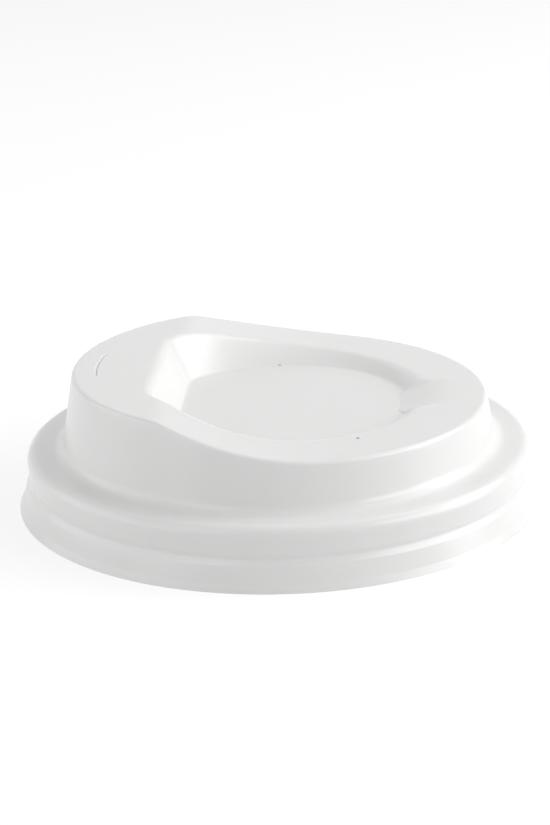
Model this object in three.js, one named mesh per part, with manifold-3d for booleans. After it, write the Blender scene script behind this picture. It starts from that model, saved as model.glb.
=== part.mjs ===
import * as THREE from 'three';
import { mergeVertices } from 'three/addons/utils/BufferGeometryUtils.js';
import Module from 'manifold-3d';

// Coffee cup lid, formed in one piece from a thin white plastic sheet.
// Millimetres, +Z up. The lid stands on its open skirt edge at z = 0, centred on the Z axis.
// The mouth side, with the sip slot, points along -X, and the low side along +X.

// Sheet
const sheetThickness = 0.45;

// Bead and skirt, which grip the cup's rolled rim. The bead's wall leans out over the neck.
const beadRadius = 45.0;
const beadTopHeight = 10.65;
const beadCrestFillet = 1.8;
const beadFootRise = 0.8;
const beadFootReach = 0.25;
const neckHeight = 5.2;
const neckDepth = 0.55;
const flareTopDrop = 1.0;
const flareTopReach = 0.75;
const skirtReach = 1.7;
const skirtLipHeight = 1.3;
const skirtLipReach = 0.65;
const skirtFillet = 0.5;

// Shallow groove inside the bead, where the dome starts
const shoulderWidth = 6.4;
const shoulderDrop = 0.05;
const domeRootFillet = 2.2;
const domeDraft = 0.18;

// Top of the dome: level at the mouth, then dropping in a hollow curve to a low, level end
const lowRise = 8.1;
const mouthRise = 5.4;
const dropLength = 31.0;
const deckEdgeFillet = 0.8;

// D-shaped well in the top, with its straight wall on the mouth side
const wellShift = 1.0;
const lowDeckWidth = 9.0;
const mouthDeckWidth = 15.1;
const wellLowDepth = 1.95;
const wellWallRun = 5.0;
const chordToDrop = 3.2;
const wellRimFillet = 2.4;
const wellFootFillet = 0.8;

// Towards its low end the well's round wall stands steeper, and its rim is rounded more
const lowWallRun = 1.3;
const lowFootReach = 0.6;
const lowRimFillet = 5.0;

// Ramp that lets spilt drink run out of the well at its low end
const rampRimReach = 3.6;
const rampFootReach = 1.8;
const rampRimFillet = 14.0;
const rampHalfAngle = THREE.MathUtils.degToRad(12.5);
const rampSideAngle = THREE.MathUtils.degToRad(5);

// Sip slot through the mouth side, and vent hole through the top beside the well
const slotInset = 4.3;
const slotLength = 12.5;
const slotWidth = 0.7;
const ventRadius = 0.45;
const ventInset = 0.9;
const ventBearing = THREE.MathUtils.degToRad(-60);

// Fineness of the model
const arcStations = 50;
const chordStations = 14;
const slotStations = 12;
const ventSides = 12;

// Places worked out from the sizes above
const skirtEdgeRadius = beadRadius + skirtReach;
const neckRadius = beadRadius - neckDepth;
const domeRootRadius = beadRadius - shoulderWidth;
const domeRootHeight = beadTopHeight - shoulderDrop;
const lowHeight = beadTopHeight + lowRise;
const mouthHeight = lowHeight + mouthRise;
const lowEdgeRadius = domeWallRadius(lowHeight);
const mouthEdgeRadius = domeWallRadius(mouthHeight);
const wellFloorHeight = lowHeight - wellLowDepth;
const wellRimRadius = lowEdgeRadius - lowDeckWidth - wellShift;
const wellFootRadius = wellRimRadius - wellWallRun;
const wellChordX = mouthDeckWidth - mouthEdgeRadius;
const dropStartX = wellChordX + chordToDrop;
const dropEndX = dropStartX + dropLength;
const slotRadius = mouthEdgeRadius - slotInset;
const slotHalfAngle = slotLength / slotRadius / 2;

// Radius of the drafted dome wall at a height
function domeWallRadius(height) {
  return domeRootRadius - domeDraft * (height - domeRootHeight);
}

// Height of the top of the dome at a distance x along the mouth axis
function deckHeight(x) {
  const run = THREE.MathUtils.clamp((dropEndX - x) / dropLength, 0, 1);
  return lowHeight + mouthRise * run * run;
}

// The well's round wall turns about its own centre, and its straight wall is a chord of it.
// Rim and foot meet the chord at one bearing, so the straight wall has flat, leaning ends.
const cornerBearing = Math.acos((wellChordX - wellShift) / wellRimRadius);
const footScale = wellFootRadius / wellRimRadius;

function wellWall(bearing) {
  if (Math.abs(bearing) > cornerBearing) {
    const chord = (wellChordX - wellShift) / Math.cos(bearing);
    return { rim: chord, foot: chord * footScale, rimFillet: wellRimFillet };
  }
  const low = Math.max((Math.cos(bearing) + 0.8) / 1.8, 0) ** 3;
  const ramp = rampShare(bearing);
  const foot = wellFootRadius + lowFootReach * low;
  const run = THREE.MathUtils.lerp(wellWallRun, lowWallRun, low);
  const rimFillet = THREE.MathUtils.lerp(wellRimFillet, lowRimFillet, low);
  return {
    rim: foot + run + rampRimReach * ramp,
    foot: foot - rampFootReach * ramp,
    rimFillet: rimFillet + rampRimFillet * ramp,
  };
}

// Share of the ramp at a bearing: 0 beside the ramp, 1 along its middle
function rampShare(bearing) {
  const overlap = rampHalfAngle + rampSideAngle - Math.abs(bearing);
  return THREE.MathUtils.smoothstep(overlap, 0, rampSideAngle);
}

// Replaces a corner of a section by an arc, as a list of points. The arc takes up no more than
// a share of the shorter side.
function roundCorner(before, corner, after, radius, steps, share) {
  const toBefore = new THREE.Vector2().subVectors(before, corner);
  const toAfter = new THREE.Vector2().subVectors(after, corner);
  const reach = share * Math.min(toBefore.length(), toAfter.length());
  toBefore.normalize();
  toAfter.normalize();
  const half = Math.acos(THREE.MathUtils.clamp(toBefore.dot(toAfter), -1, 1)) / 2;
  const tangent = Math.min(radius / Math.tan(half), reach);
  const fitted = tangent * Math.tan(half);
  const middle = toBefore.clone().add(toAfter).normalize();
  const centre = corner.clone().addScaledVector(middle, fitted / Math.sin(half));
  const start = corner.clone().addScaledVector(toBefore, tangent).sub(centre);
  const end = corner.clone().addScaledVector(toAfter, tangent).sub(centre);
  const turn = Math.atan2(start.cross(end), start.dot(end));
  const points = [];
  for (let step = 0; step <= steps; step++) {
    const spoke = start.clone().rotateAround(new THREE.Vector2(), turn * step / steps);
    points.push(centre.clone().add(spoke));
  }
  return points;
}

// Corners of the skin's section at a bearing about the well's centre, from the skirt's edge to
// the middle of the well's floor, as distance from the middle and height. The skirt, the bead
// and the dome's root are round about the Z axis, and the well about its own centre, so the
// distances of the first are measured along the same bearing from the well's centre.
function sectionCorners(bearing) {
  const { rim, foot, rimFillet } = wellWall(bearing);
  const edge = deckEdge(bearing);
  const middle = (edge.distance + rim) / 2;
  const deckAt = (distance) => deckHeight(wellShift + distance * Math.cos(bearing));
  const round = (radius) => distanceAlong(bearing, radius);
  const flareTop = [round(neckRadius + flareTopReach), neckHeight - flareTopDrop];
  const beadFoot = [round(neckRadius + beadFootReach), neckHeight + beadFootRise];
  return [
    { at: [round(skirtEdgeRadius), 0] },
    { at: [round(skirtEdgeRadius - skirtLipReach), skirtLipHeight], fillet: skirtFillet, turn: 1, steps: 1 },
    { at: flareTop, fillet: skirtFillet, turn: -1, steps: 1 },
    { at: [round(neckRadius), neckHeight], fillet: skirtFillet, turn: 1, steps: 1 },
    { at: beadFoot, fillet: skirtFillet, turn: 1, steps: 1 },
    { at: [round(beadRadius), beadTopHeight], fillet: beadCrestFillet, turn: -1, steps: 4 },
    { at: [round(domeRootRadius), domeRootHeight], fillet: domeRootFillet, turn: 1, steps: 5 },
    { at: [edge.distance, edge.height], fillet: deckEdgeFillet, turn: -1, steps: 3 },
    { at: [middle, deckAt(middle)] },
    { at: [rim, deckAt(rim)], fillet: rimFillet, turn: -1, steps: 4, share: 0.8 },
    { at: [foot, wellFloorHeight], fillet: wellFootFillet, turn: 1, steps: 2, share: 0.18 },
    { at: [foot / 2, wellFloorHeight] },
    { at: [0, wellFloorHeight] },
  ];
}

// Distance from the well's centre, along a bearing, to a circle about the Z axis
function distanceAlong(bearing, radius) {
  const along = wellShift * Math.cos(bearing);
  return Math.sqrt(radius * radius - wellShift * wellShift + along * along) - along;
}

// Where the drafted dome wall meets the top, found by stepping between the two
function deckEdge(bearing) {
  let height = mouthHeight;
  let distance = 0;
  for (let step = 0; step < 30; step++) {
    distance = distanceAlong(bearing, domeWallRadius(height));
    height = deckHeight(wellShift + distance * Math.cos(bearing));
  }
  return { distance, height };
}

// One skin of the sheet at a bearing. inset is 0 for the outer skin, and the sheet's thickness
// for the inner one, whose sides are moved inwards by it before its corners are rounded.
function section(bearing, inset) {
  const corners = sectionCorners(bearing);
  const outline = insetOutline(corners.map(({ at }) => new THREE.Vector2(...at)), inset);
  const points = [];
  corners.forEach(({ fillet, turn, steps, share = 0.45 }, index) => {
    if (fillet === undefined) {
      points.push(outline[index]);
    } else {
      const radius = fillet + turn * inset;
      const sides = [outline[index - 1], outline[index], outline[index + 1]];
      points.push(...roundCorner(...sides, radius, steps, share));
    }
  });
  return points;
}

// The skirt's edge stays at z = 0 and the middle of the floor stays over the well's centre
function insetOutline(corners, inset) {
  const level = { start: new THREE.Vector2(0, 0), along: new THREE.Vector2(1, 0) };
  const upright = { start: new THREE.Vector2(0, 0), along: new THREE.Vector2(0, 1) };
  const sides = [level];
  for (let index = 0; index + 1 < corners.length; index++) {
    const along = new THREE.Vector2().subVectors(corners[index + 1], corners[index]).normalize();
    const inwards = new THREE.Vector2(-along.y, along.x).multiplyScalar(inset);
    sides.push({ start: corners[index].clone().add(inwards), along });
  }
  sides.push(upright);
  return corners.map((corner, index) => crossing(sides[index], sides[index + 1], corner, inset));
}

// Where two lines cross, or the corner moved straight inwards where they nearly line up
function crossing(first, second, corner, inset) {
  const spread = first.along.cross(second.along);
  if (Math.abs(spread) < 0.02) {
    return corner.clone().addScaledVector(new THREE.Vector2(-second.along.y, second.along.x), inset);
  }
  const gap = new THREE.Vector2().subVectors(second.start, first.start);
  return first.start.clone().addScaledVector(first.along, gap.cross(second.along) / spread);
}

// Bearings of the sections, with one at each corner of the well
function stationBearings() {
  const bearings = [];
  for (let station = 0; station < arcStations; station++) {
    bearings.push(cornerBearing * (2 * station / arcStations - 1));
  }
  const chordTurn = 2 * (Math.PI - cornerBearing);
  for (let station = 0; station < chordStations; station++) {
    bearings.push(cornerBearing + chordTurn * station / chordStations);
  }
  return bearings.map((bearing) => (bearing > Math.PI ? bearing - 2 * Math.PI : bearing));
}

// The closed shell: outer skin, inner skin, and the ring that joins them at the skirt's edge
function shellGeometry() {
  const bearings = stationBearings();
  const positions = [];
  const indices = [];
  const skins = [0, sheetThickness].map((inset) => bearings.map((bearing) => (
    section(bearing, inset).map(({ x, y }) => {
      positions.push(wellShift + x * Math.cos(bearing), x * Math.sin(bearing), y);
      return positions.length / 3 - 1;
    })
  )));
  const [outer, inner] = skins;
  bearings.forEach((bearing, station) => {
    const next = (station + 1) % bearings.length;
    for (let index = 0; index + 1 < outer[station].length; index++) {
      const above = index + 1;
      addQuad(indices, outer[station][index], outer[next][index], outer[next][above], outer[station][above]);
      addQuad(indices, inner[station][above], inner[next][above], inner[next][index], inner[station][index]);
    }
    addQuad(indices, inner[station][0], inner[next][0], outer[next][0], outer[station][0]);
  });
  const geometry = new THREE.BufferGeometry();
  geometry.setAttribute('position', new THREE.Float32BufferAttribute(positions, 3));
  geometry.setIndex(indices);
  return geometry;
}

function addQuad(indices, a, b, c, d) {
  indices.push(a, b, c, a, c, d);
}

// Curved band that cuts the sip slot, tall enough to pass through the top
function slotCutter() {
  const outline = new THREE.Shape();
  outline.absarc(0, 0, slotRadius + slotWidth / 2, Math.PI - slotHalfAngle, Math.PI + slotHalfAngle, false);
  outline.absarc(0, 0, slotRadius - slotWidth / 2, Math.PI + slotHalfAngle, Math.PI - slotHalfAngle, true);
  const depth = 6 * sheetThickness;
  const options = { depth, bevelEnabled: false, curveSegments: slotStations };
  const geometry = new THREE.ExtrudeGeometry(outline, options);
  geometry.translate(0, 0, mouthHeight - depth / 2);
  return geometry;
}

// Small round cutter for the vent hole, just outside the well's rim
function ventCutter() {
  const distance = wellRimRadius + ventInset;
  const x = wellShift + distance * Math.cos(ventBearing);
  const y = distance * Math.sin(ventBearing);
  const geometry = new THREE.CylinderGeometry(ventRadius, ventRadius, 8 * sheetThickness, ventSides);
  geometry.rotateX(Math.PI / 2);
  geometry.translate(x, y, deckHeight(x));
  return geometry;
}

const wasm = await Module();
wasm.setup();

function toSolid(geometry) {
  const bare = geometry.clone();
  bare.deleteAttribute('normal');
  bare.deleteAttribute('uv');
  const merged = mergeVertices(bare, 1e-4);
  return new wasm.Manifold(new wasm.Mesh({
    numProp: 3,
    vertProperties: new Float32Array(merged.attributes.position.array),
    triVerts: new Uint32Array(merged.index.array),
  }));
}

function toGeometry(solid) {
  const mesh = solid.getMesh();
  const geometry = new THREE.BufferGeometry();
  geometry.setAttribute('position', new THREE.Float32BufferAttribute(mesh.vertProperties, 3));
  geometry.setIndex(new THREE.Uint32BufferAttribute(mesh.triVerts, 1));
  geometry.computeVertexNormals();
  return geometry;
}

function lidGeometry() {
  const shell = toSolid(shellGeometry());
  return toGeometry(shell.subtract(toSolid(slotCutter())).subtract(toSolid(ventCutter())));
}

const whitePlastic = new THREE.MeshStandardMaterial({ color: 0xf2f2f1, roughness: 0.38, metalness: 0 });

const lid = new THREE.Mesh(lidGeometry(), whitePlastic);
lid.name = 'lid';

const coffeeCupLid = new THREE.Group();
coffeeCupLid.add(lid);

export default coffeeCupLid;
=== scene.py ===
import bisect
import math
import bmesh
import bpy
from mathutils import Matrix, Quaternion, Vector


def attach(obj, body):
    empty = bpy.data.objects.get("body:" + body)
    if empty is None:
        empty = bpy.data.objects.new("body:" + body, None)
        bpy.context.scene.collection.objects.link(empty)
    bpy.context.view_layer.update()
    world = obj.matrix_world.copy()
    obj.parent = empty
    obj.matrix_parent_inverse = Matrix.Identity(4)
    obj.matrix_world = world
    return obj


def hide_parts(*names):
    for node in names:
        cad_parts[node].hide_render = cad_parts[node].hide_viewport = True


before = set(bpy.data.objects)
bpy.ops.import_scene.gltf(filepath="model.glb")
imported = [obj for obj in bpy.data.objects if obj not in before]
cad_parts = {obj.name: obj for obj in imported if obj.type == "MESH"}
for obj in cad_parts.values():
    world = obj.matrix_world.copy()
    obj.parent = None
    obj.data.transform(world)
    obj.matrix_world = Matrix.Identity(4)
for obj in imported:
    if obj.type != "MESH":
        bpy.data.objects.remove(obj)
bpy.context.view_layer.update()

# Camera
# A long lens 40 cm away, in front and a little towards the low end. It looks down by 20 degrees
# and is turned slightly about its own axis. The shift puts the lid where the picture has it.
AIM = Vector((0.0, 0.0, 0.008))
CAMERA_DISTANCE = 0.4
CAMERA_AZIMUTH = math.radians(4.02)
CAMERA_ELEVATION = math.radians(19.82)
CAMERA_ROLL = math.radians(1.5)
LENS_LENGTH = 97.16
SENSOR_WIDTH = 36.0
NEAREST_SEEN = 0.01
FARTHEST_SEEN = 20.0
PICTURE_LENGTH = 825.0
PICTURE_CENTRE = (275.0, 412.5)
AIM_IN_PICTURE = (278.77, 449.43)
back = Vector((
    math.sin(CAMERA_AZIMUTH) * math.cos(CAMERA_ELEVATION),
    -math.cos(CAMERA_AZIMUTH) * math.cos(CAMERA_ELEVATION),
    math.sin(CAMERA_ELEVATION),
))
camera_data = bpy.data.cameras.new("camera")
camera_data.lens = LENS_LENGTH
camera_data.sensor_width = SENSOR_WIDTH
camera_data.shift_x = -(AIM_IN_PICTURE[0] - PICTURE_CENTRE[0]) / PICTURE_LENGTH
camera_data.shift_y = (AIM_IN_PICTURE[1] - PICTURE_CENTRE[1]) / PICTURE_LENGTH
camera_data.clip_start = NEAREST_SEEN
camera_data.clip_end = FARTHEST_SEEN
camera = bpy.data.objects.new("camera", camera_data)
camera.rotation_mode = "QUATERNION"
camera.location = AIM + back * CAMERA_DISTANCE
camera.rotation_quaternion = (-back).to_track_quat("-Z", "Y") @ Quaternion((0, 0, 1), -CAMERA_ROLL)
bpy.context.scene.collection.objects.link(camera)
bpy.context.scene.camera = camera

# Lid
# One thin sheet of white polystyrene, drawn hot over a mould and punched out at the skirt's edge.
# It is shaped here as the mould is cut: one section, carried round the well's centre.
MM = 0.001
SHEET = 0.45
BEAD_RADIUS = 45.0
BEAD_TOP = 10.65
CREST_ROUND = 1.8
BEAD_FOOT_RISE = 0.8
BEAD_FOOT_REACH = 0.25
NECK_HEIGHT = 5.2
NECK_RADIUS = 44.45
FLARE_TOP_DROP = 1.0
FLARE_TOP_REACH = 0.75
SKIRT_EDGE_RADIUS = 46.7
LIP_HEIGHT = 1.3
LIP_REACH = 0.65
LIP_ROUND = 0.4
NECK_ROUND = 0.6
DOME_ROOT_RADIUS = 38.6
DOME_ROOT_HEIGHT = 10.6
DOME_ROOT_ROUND = 2.2
DOME_DRAFT = 0.18
LOW_HEIGHT = 18.75
MOUTH_RISE = 5.4
DROP_LENGTH = 31.0
DROP_END = 13.09
CREASE_SOFTNESS = 0.05
DECK_EDGE_ROUND = 0.8
DECK_EDGE_SIDE = 3.0
DECK_PARTS = 16
EDGE_SEARCH_STEPS = 30
WELL_CENTRE = 1.0
WELL_RIM_RADIUS = 27.09
WELL_CHORD = -21.11
WELL_CORNER_ROUND = 1.5
CHORD_START = -0.2
WELL_FLOOR = 16.8
WELL_FOOT_RADIUS = 22.1
LOW_START = -0.8
LOW_POWER = 3
LOW_FOOT_REACH = 0.6
LOW_WALL_RUN = 1.3
WELL_RIM_SIDE = 4.0
WELL_RIM_SHARE = 0.8
WELL_RIM_ROUND = 2.4
LOW_RIM_ROUND = 5.0
WELL_FOOT_ROUND = 0.8
WELL_FOOT_SHARE = 0.18
WELL_FLOOR_PARTS = 4
RAMP_RIM_REACH = 3.6
RAMP_FOOT_REACH = 1.8
RAMP_RIM_ROUND = 14.0
RAMP_HALF_ANGLE = math.radians(12.5)
RAMP_SIDE_ANGLE = math.radians(5)


def clamp(value, low, high):
    return max(low, min(high, value))


def smooth_step(value):
    value = clamp(value, 0.0, 1.0)
    return value * value * (3 - 2 * value)


def soft_least(first, second, softness):
    """The lesser of two numbers, with the corner between them rounded off."""
    share = clamp(0.5 + 0.5 * (second - first) / softness, 0.0, 1.0)
    return second + (first - second) * share - softness * share * (1 - share)


def deck_height(x):
    """Level on the mouth side, then a hollow curve down to the level low end."""
    run = soft_least(1.0, max((DROP_END - x) / DROP_LENGTH, 0.0), CREASE_SOFTNESS)
    return LOW_HEIGHT + MOUTH_RISE * run * run


def dome_wall_radius(height):
    return DOME_ROOT_RADIUS - DOME_DRAFT * (height - DOME_ROOT_HEIGHT)


def distance_to_circle(bearing, radius):
    """How far a circle about the lid's middle is from the well's centre, along a bearing."""
    along = WELL_CENTRE * math.cos(bearing)
    return math.sqrt(radius ** 2 - WELL_CENTRE ** 2 + along ** 2) - along


def deck_edge(bearing):
    """Where the drafted dome wall meets the top, as distance and height."""
    height = LOW_HEIGHT + MOUTH_RISE
    for step in range(EDGE_SEARCH_STEPS):
        distance = distance_to_circle(bearing, dome_wall_radius(height))
        height = deck_height(WELL_CENTRE + distance * math.cos(bearing))
    return Vector((distance, height))


def well_wall(bearing):
    """Distances of the well's rim and foot, and the rounding of the rim.

    The wall is a circle cut off by a straight wall. It stands steeper and is rounded more
    towards the low end, where a ramp leads out of the well. Both starts are cosines of a bearing.
    """
    low = max((math.cos(bearing) - LOW_START) / (1 - LOW_START), 0.0) ** LOW_POWER
    full_run = WELL_RIM_RADIUS - WELL_FOOT_RADIUS
    foot = WELL_FOOT_RADIUS + LOW_FOOT_REACH * low
    rim = foot + full_run + (LOW_WALL_RUN - full_run) * low
    if math.cos(bearing) < CHORD_START:
        to_chord = (WELL_CHORD - WELL_CENTRE) / math.cos(bearing)
        to_chord_foot = to_chord * WELL_FOOT_RADIUS / WELL_RIM_RADIUS
        rim = soft_least(rim, to_chord, WELL_CORNER_ROUND)
        foot = soft_least(foot, to_chord_foot, WELL_CORNER_ROUND)
    ramp = smooth_step((RAMP_HALF_ANGLE + RAMP_SIDE_ANGLE - abs(bearing)) / RAMP_SIDE_ANGLE)
    rim += RAMP_RIM_REACH * ramp
    foot -= RAMP_FOOT_REACH * ramp
    rim_round = WELL_RIM_ROUND + (LOW_RIM_ROUND - WELL_RIM_ROUND) * low + RAMP_RIM_ROUND * ramp
    return rim, foot, rim_round


def rounded(before, corner, after, radius, steps, share=0.45):
    """Points of an arc in place of a corner. It takes up no more than a share of either side."""
    to_before = before - corner
    to_after = after - corner
    reach = share * min(to_before.length, to_after.length)
    to_before.normalize()
    to_after.normalize()
    half = math.acos(clamp(to_before.dot(to_after), -1.0, 1.0)) / 2
    tangent = min(radius / math.tan(half), reach)
    fitted = tangent * math.tan(half)
    centre = corner + (to_before + to_after).normalized() * (fitted / math.sin(half))
    start = corner + to_before * tangent - centre
    end = corner + to_after * tangent - centre
    turn = math.atan2(start.x * end.y - start.y * end.x, start.dot(end))
    points = []
    for step in range(steps + 1):
        angle = turn * step / steps
        spoke = Vector((
            start.x * math.cos(angle) - start.y * math.sin(angle),
            start.x * math.sin(angle) + start.y * math.cos(angle),
        ))
        points.append(centre + spoke)
    return points


def straight(start, end, parts):
    """Points between two points of the section, without the two themselves."""
    return [start.lerp(end, part / parts) for part in range(1, parts)]


def section(bearing):
    """The sheet's outer side at a bearing, from the skirt's edge to the middle of the well."""
    def around(radius, height):
        return Vector((distance_to_circle(bearing, radius), height))

    def on_deck(distance):
        return Vector((distance, deck_height(WELL_CENTRE + distance * math.cos(bearing))))

    edge = deck_edge(bearing)
    rim_distance, foot_distance, rim_round = well_wall(bearing)
    rim = on_deck(rim_distance)
    foot = Vector((foot_distance, WELL_FLOOR))
    skirt_edge = around(SKIRT_EDGE_RADIUS, 0)
    lip = around(SKIRT_EDGE_RADIUS - LIP_REACH, LIP_HEIGHT)
    flare_top = around(NECK_RADIUS + FLARE_TOP_REACH, NECK_HEIGHT - FLARE_TOP_DROP)
    neck = around(NECK_RADIUS, NECK_HEIGHT)
    bead_foot = around(NECK_RADIUS + BEAD_FOOT_REACH, NECK_HEIGHT + BEAD_FOOT_RISE)
    crest = around(BEAD_RADIUS, BEAD_TOP)
    root = around(DOME_ROOT_RADIUS, DOME_ROOT_HEIGHT)
    floor = Vector((0, WELL_FLOOR))
    rounds = [
        rounded(skirt_edge, lip, flare_top, LIP_ROUND, 3),
        rounded(lip, flare_top, neck, NECK_ROUND, 4),
        rounded(flare_top, neck, bead_foot, NECK_ROUND, 4),
        rounded(neck, bead_foot, crest, NECK_ROUND, 4),
        rounded(bead_foot, crest, root, CREST_ROUND, 8),
        rounded(crest, root, edge, DOME_ROOT_ROUND, 8),
        rounded(root, edge, on_deck(edge.x - DECK_EDGE_SIDE), DECK_EDGE_ROUND, 7),
        rounded(on_deck(rim.x + WELL_RIM_SIDE), rim, foot, rim_round, 9, WELL_RIM_SHARE),
        rounded(rim, foot, floor, WELL_FOOT_ROUND, 5, WELL_FOOT_SHARE),
    ]
    deck_start = rounds[6][-1].x
    deck_end = rounds[7][0].x
    deck_run = deck_end - deck_start
    deck = [on_deck(deck_start + deck_run * part / DECK_PARTS) for part in range(1, DECK_PARTS)]
    points = [skirt_edge]
    # The parts of the straight before each rounding, with none where the curved top comes between
    parts_before = [1, 3, 1, 1, 3, 2, 5, 0, 3]
    for parts, arc in zip(parts_before, rounds):
        points += deck if parts == 0 else straight(points[-1], arc[0], parts)
        points += arc
    points += straight(points[-1], floor, WELL_FLOOR_PARTS)
    return points


def placed(point, bearing):
    """Where a point of the section at a bearing is, in metres."""
    x = WELL_CENTRE + point.x * math.cos(bearing)
    return Vector((x, point.x * math.sin(bearing), point.y)) * MM


# The sections stand closer together where they turn the well's two corners and the ramp's sides
WIDE_SPACING = math.radians(1.25)
CLOSE_SPACING = math.radians(0.5)
CLOSE_REACH = math.radians(4.5)
LOOK_AHEAD = math.radians(0.6)
LAST_GAP = math.radians(0.3)
BEARING_SLACK = math.radians(0.1)
SAME_PLACE = 1e-7
corner = math.acos((WELL_CHORD - WELL_CENTRE) / WELL_RIM_RADIUS)
ramp_side = RAMP_HALF_ANGLE + RAMP_SIDE_ANGLE / 2
turns = [-corner, -ramp_side, ramp_side, corner]
bearings = []
bearing = -math.pi
while bearing < math.pi - LAST_GAP:
    bearings.append(bearing)
    nearest_turn = min(abs(bearing + LOOK_AHEAD - turn) for turn in turns)
    bearing += CLOSE_SPACING if nearest_turn < CLOSE_REACH else WIDE_SPACING
sections = [section(bearing) for bearing in bearings]

bpy.ops.object.select_all(action="DESELECT")
bpy.ops.mesh.primitive_circle_add(
    vertices=len(bearings), radius=SKIRT_EDGE_RADIUS * MM, fill_type="NOTHING", location=(0, 0, 0))
lid = bpy.context.object
lid.name = "cup_lid"
for vertex, bearing, points in zip(lid.data.vertices, bearings, sections):
    vertex.co = placed(points[0], bearing)
bpy.ops.object.mode_set(mode="EDIT")
bpy.ops.mesh.select_mode(type="VERT")
bpy.ops.mesh.select_all(action="SELECT")
for ring in range(1, len(sections[0])):
    bpy.ops.mesh.extrude_edges_move(TRANSFORM_OT_translate={"value": (0, 0, 0)})
    shell = bmesh.from_edit_mesh(lid.data)
    for vertex in [vertex for vertex in shell.verts if vertex.select]:
        turned = math.atan2(vertex.co.y, vertex.co.x - WELL_CENTRE * MM)
        station = bisect.bisect(bearings, turned + BEARING_SLACK) - 1
        vertex.co = placed(sections[station][ring], bearings[station])
    bmesh.update_edit_mesh(lid.data)
bpy.ops.mesh.edge_face_add()
bpy.ops.mesh.poke()
bpy.ops.mesh.select_all(action="SELECT")
bpy.ops.mesh.remove_doubles(threshold=SAME_PLACE)
bpy.ops.mesh.normals_make_consistent(inside=False)
bpy.ops.object.mode_set(mode="OBJECT")

solidify = lid.modifiers.new("sheet", "SOLIDIFY")
solidify.thickness = SHEET * MM
solidify.offset = -1.0
solidify.use_even_offset = True
bpy.ops.object.modifier_apply(modifier="sheet")
for vertex in lid.data.vertices:
    vertex.co.z = max(vertex.co.z, 0.0)

# Sip slot, vent hole and mould mark
# The slot is a slit punched at the bottom of a shallow, curved channel, and the vent is a pinhole
# pricked beside the well's rim. The mould leaves a small pit at the foot of the well's far wall.
SLOT_RADIUS = 31.9
SLOT_LENGTH = 12.5
CHANNEL_WIDTH = 0.75
CHANNEL_DEPTH = 0.2
CHANNEL_PUNCH_TOP = 0.02
SLIT_WIDTH = 0.06
SLIT_DEPTH = 0.6
SLIT_PUNCH_TOP = 1.0
CHANNEL_FOOT_WIDTH = SLIT_WIDTH * 0.8
SLOT_PARTS = 41
SLOT_END_PARTS = 6
VENT_RADIUS = 0.36
VENT_FROM_RIM = 0.9
VENT_BEARING = math.radians(-60)
PIT_RADIUS = 0.5
PIT_DEPTH = 0.12
PIT_PLACE = (-1.0, 21.8)
ROUND_PUNCH_LENGTH = 3.0
ROUND_PUNCH_SIDES = 24
SMOOTHED_ANGLE = math.radians(24)


def slot_outline(width):
    """A curved slot of a given width, as angles along the slot and distances across it."""
    half_angle = SLOT_LENGTH / SLOT_RADIUS / 2
    outline = []
    for part in range(SLOT_PARTS + 1):
        outline.append((half_angle * (2 * part / SLOT_PARTS - 1), width / 2))
    for part in range(1, SLOT_END_PARTS):
        turn = math.pi * part / SLOT_END_PARTS
        reach = half_angle + width / 2 * math.sin(turn) / SLOT_RADIUS
        outline.append((reach, width / 2 * math.cos(turn)))
    return outline + [(-angle, -across) for angle, across in outline]


def curved_punch(top_width, bottom_width, top, bottom):
    """A cylinder bent along the slot. Its heights are taken from the mouth side's top."""
    top_outline = slot_outline(top_width)
    bottom_outline = slot_outline(bottom_width)
    bpy.ops.object.select_all(action="DESELECT")
    bpy.ops.mesh.primitive_cylinder_add(
        vertices=len(top_outline), radius=MM, depth=MM, end_fill_type="NGON", location=(0, 0, 0))
    punch = bpy.context.object
    for vertex in punch.data.vertices:
        turned = math.atan2(vertex.co.x, vertex.co.y) % (2 * math.pi)
        number = round(turned / (2 * math.pi) * len(top_outline)) % len(top_outline)
        is_top = vertex.co.z > 0
        angle, across = top_outline[number] if is_top else bottom_outline[number]
        radius = SLOT_RADIUS + across
        height = LOW_HEIGHT + MOUTH_RISE + (top if is_top else bottom)
        vertex.co = Vector((-radius * math.cos(angle), radius * math.sin(angle), height)) * MM
    return punch


def round_punch(radius, x, y, height):
    """An upright cylinder, with its middle at a given height."""
    bpy.ops.object.select_all(action="DESELECT")
    bpy.ops.mesh.primitive_cylinder_add(
        vertices=ROUND_PUNCH_SIDES, radius=radius * MM, depth=ROUND_PUNCH_LENGTH * MM,
        location=(x * MM, y * MM, height * MM))
    return bpy.context.object


channel_punch = curved_punch(CHANNEL_WIDTH, CHANNEL_FOOT_WIDTH, CHANNEL_PUNCH_TOP, -CHANNEL_DEPTH)
slit_punch = curved_punch(SLIT_WIDTH, SLIT_WIDTH, SLIT_PUNCH_TOP, -SLIT_DEPTH)
vent_distance = WELL_RIM_RADIUS + VENT_FROM_RIM
vent_x = WELL_CENTRE + vent_distance * math.cos(VENT_BEARING)
vent_y = vent_distance * math.sin(VENT_BEARING)
vent_punch = round_punch(VENT_RADIUS, vent_x, vent_y, deck_height(vent_x))
pit_height = WELL_FLOOR - PIT_DEPTH + ROUND_PUNCH_LENGTH / 2
pit_punch = round_punch(PIT_RADIUS, PIT_PLACE[0], PIT_PLACE[1], pit_height)
for punch in (channel_punch, slit_punch, vent_punch, pit_punch):
    bpy.ops.object.select_all(action="DESELECT")
    bpy.context.view_layer.objects.active = lid
    lid.select_set(True)
    cut = lid.modifiers.new("punch", "BOOLEAN")
    cut.operation = "DIFFERENCE"
    cut.solver = "EXACT"
    cut.object = punch
    bpy.ops.object.modifier_apply(modifier="punch")
    bpy.data.objects.remove(punch)

bpy.ops.object.shade_smooth_by_angle(angle=SMOOTHED_ANGLE)

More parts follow.
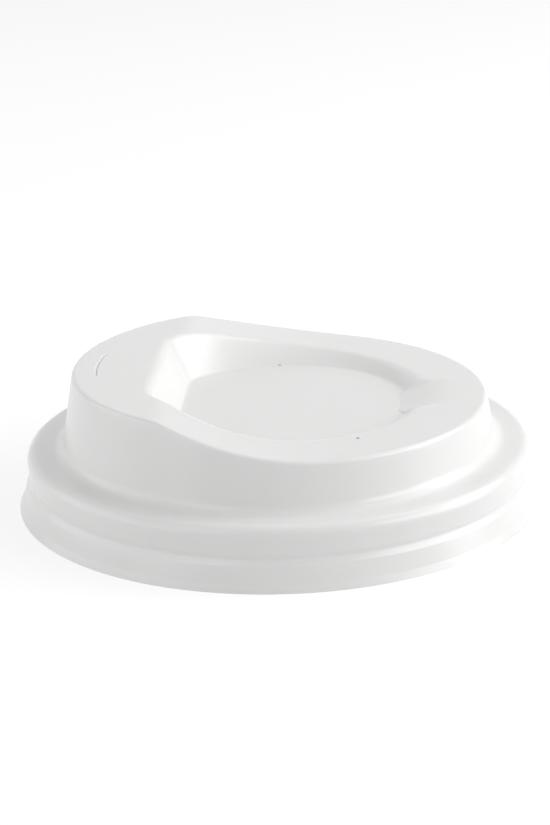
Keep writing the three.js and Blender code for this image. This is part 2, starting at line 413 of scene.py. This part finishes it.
# White plastic
# Satin white polystyrene that lets a little light through. The mould leaves it slightly wavy,
# and the drawn sheet has a fine, soft grain that breaks up the gloss.
PLASTIC_WHITE = (0.86, 0.86, 0.855, 1.0)
PLASTIC_SHADE = (0.84, 0.84, 0.832, 1.0)
CLOUD_SCALE = 90.0
GRAIN_SCALE = 2600.0
WAVE_SCALE = 55.0
WAVE_HEIGHT = 0.00012
GRAIN_HEIGHT = 0.000004
LEAST_ROUGHNESS = 0.2
ROUGHNESS_SPREAD = 0.1
POLYSTYRENE_IOR = 1.57
LIGHT_INSIDE_SHARE = 0.15
LIGHT_INSIDE_REACH = 0.001


class Wire:
    """An output of a node. A plus or times sign after it adds a Math node."""

    def __init__(self, tree, socket):
        self.tree = tree
        self.socket = socket

    def __add__(self, other):
        return add_node(self.tree, "ShaderNodeMath", {"operation": "ADD"}, {0: self, 1: other})

    def __mul__(self, other):
        return add_node(self.tree, "ShaderNodeMath", {"operation": "MULTIPLY"}, {0: self, 1: other})


def add_node(tree, kind, settings, sockets, output=0):
    """Adds a node, sets its settings and then its sockets, and gives one of its outputs."""
    node = tree.nodes.new(kind)
    for name, setting in settings.items():
        setattr(node, name, setting)
    for name, value in sockets.items():
        if isinstance(value, Wire):
            tree.links.new(value.socket, node.inputs[name])
        else:
            node.inputs[name].default_value = value
    return Wire(tree, node.outputs[output])


def noise(tree, place, scale, detail):
    sockets = {"Vector": place, "Scale": scale, "Detail": detail, "Roughness": 0.5}
    return add_node(tree, "ShaderNodeTexNoise", {}, sockets, "Fac")


plastic = bpy.data.materials.new("white_plastic")
plastic.use_nodes = True
tree = plastic.node_tree
tree.nodes.clear()
place = add_node(tree, "ShaderNodeTexCoord", {}, {}, "Object")
cloud = noise(tree, place, CLOUD_SCALE, 3.0)
grain = noise(tree, place, GRAIN_SCALE, 2.0)
waves = noise(tree, place, WAVE_SCALE, 1.0)
colour = add_node(
    tree, "ShaderNodeMix", {"data_type": "RGBA"},
    {"Factor": cloud, 6: PLASTIC_SHADE, 7: PLASTIC_WHITE}, 2)
height = waves * WAVE_HEIGHT + grain * GRAIN_HEIGHT
bump = add_node(tree, "ShaderNodeBump", {}, {"Strength": 1.0, "Distance": 1.0, "Height": height})
surface = add_node(tree, "ShaderNodeBsdfPrincipled", {}, {
    "Base Color": colour,
    "Roughness": cloud * ROUGHNESS_SPREAD + LEAST_ROUGHNESS,
    "Normal": bump,
    "IOR": POLYSTYRENE_IOR,
    "Specular IOR Level": 0.5,
    "Subsurface Weight": LIGHT_INSIDE_SHARE,
    "Subsurface Scale": LIGHT_INSIDE_REACH,
    "Subsurface Radius": (1.0, 1.0, 1.0),
})
output = tree.nodes.new("ShaderNodeOutputMaterial")
tree.links.new(surface.socket, output.inputs["Surface"])
lid.data.materials.clear()
lid.data.materials.append(plastic)
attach(lid, "root")
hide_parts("lid")

# Floor
# A wide sheet of matt white paper. It shows white to the camera, but keeps the lid's shadow.
FLOOR_WHITE = (0.9, 0.9, 0.9, 1.0)
FLOOR_SHOWN = (0.38, 0.38, 0.38, 1.0)
FLOOR_GLOW = 0.7
FLOOR_SIZE = 8.0


def camera_sees(tree):
    """One for rays from the camera, for reflections and for light that passes through, else 0."""
    camera_ray = add_node(tree, "ShaderNodeLightPath", {}, {}, "Is Camera Ray")
    glossy_ray = add_node(tree, "ShaderNodeLightPath", {}, {}, "Is Glossy Ray")
    through_ray = add_node(tree, "ShaderNodeLightPath", {}, {}, "Is Transmission Ray")
    return camera_ray + glossy_ray + through_ray


bpy.ops.object.select_all(action="DESELECT")
bpy.ops.mesh.primitive_plane_add(size=FLOOR_SIZE, location=(0, 0, 0))
floor = bpy.context.object
floor.name = "floor"
paper = bpy.data.materials.new("floor_paper")
paper.use_nodes = True
tree = paper.node_tree
tree.nodes.clear()
bounce = add_node(tree, "ShaderNodeBsdfDiffuse", {}, {"Color": FLOOR_WHITE})
shown = add_node(tree, "ShaderNodeBsdfPrincipled", {}, {
    "Base Color": FLOOR_SHOWN,
    "Roughness": 1.0,
    "Specular IOR Level": 0.0,
    "Emission Color": (1.0, 1.0, 1.0, 1.0),
    "Emission Strength": FLOOR_GLOW,
})
mixed = add_node(tree, "ShaderNodeMixShader", {}, {0: camera_sees(tree), 1: bounce, 2: shown})
output = tree.nodes.new("ShaderNodeOutputMaterial")
tree.links.new(mixed.socket, output.inputs["Surface"])
floor.data.materials.append(paper)

# Light
# A white room with four soft boxes to the right, two low ones to the left and one above the left
# of the front. The room shows white to the camera and in the gloss.
ROOM_LIGHT = 0.319
ROOM_WHITE = (1.0, 1.0, 1.0, 1.0)
LAMP_DISTANCE = 0.9
world = bpy.data.worlds.new("room")
bpy.context.scene.world = world
world.use_nodes = True
tree = world.node_tree
tree.nodes.clear()
room = add_node(tree, "ShaderNodeBackground", {}, {"Color": ROOM_WHITE, "Strength": ROOM_LIGHT})
white = add_node(tree, "ShaderNodeBackground", {}, {"Color": ROOM_WHITE, "Strength": 1.0})
mixed = add_node(tree, "ShaderNodeMixShader", {}, {0: camera_sees(tree), 1: room, 2: white})
output = tree.nodes.new("ShaderNodeOutputWorld")
tree.links.new(mixed.socket, output.inputs["Surface"])


def soft_box(name, turn, rise, size, power):
    """A round soft light that faces the lid. A turn of 0 is on its right, and 270 in front."""
    lamp = bpy.data.lights.new(name, "AREA")
    lamp.shape = "DISK"
    lamp.size = size
    lamp.energy = power
    box = bpy.data.objects.new(name, lamp)
    out = Vector((
        math.cos(math.radians(turn)) * math.cos(math.radians(rise)),
        math.sin(math.radians(turn)) * math.cos(math.radians(rise)),
        math.sin(math.radians(rise)),
    ))
    box.location = AIM + out * LAMP_DISTANCE
    box.rotation_mode = "QUATERNION"
    box.rotation_quaternion = (-out).to_track_quat("-Z", "Y")
    bpy.context.scene.collection.objects.link(box)


soft_box("right_low_box", 0, 14, 0.5, 1.89)
soft_box("right_front_box", -20, 34, 0.5, 1.75)
soft_box("right_middle_box", 20, 34, 0.5, 2.07)
soft_box("right_back_box", 45, 54, 0.5, 0.99)
soft_box("left_box", 180, 22, 0.9, 2.0)
soft_box("left_front_box", 220, 14, 0.5, 0.54)
soft_box("front_box", 230, 42, 0.5, 0.73)

bpy.context.scene.view_settings.view_transform = "Standard"
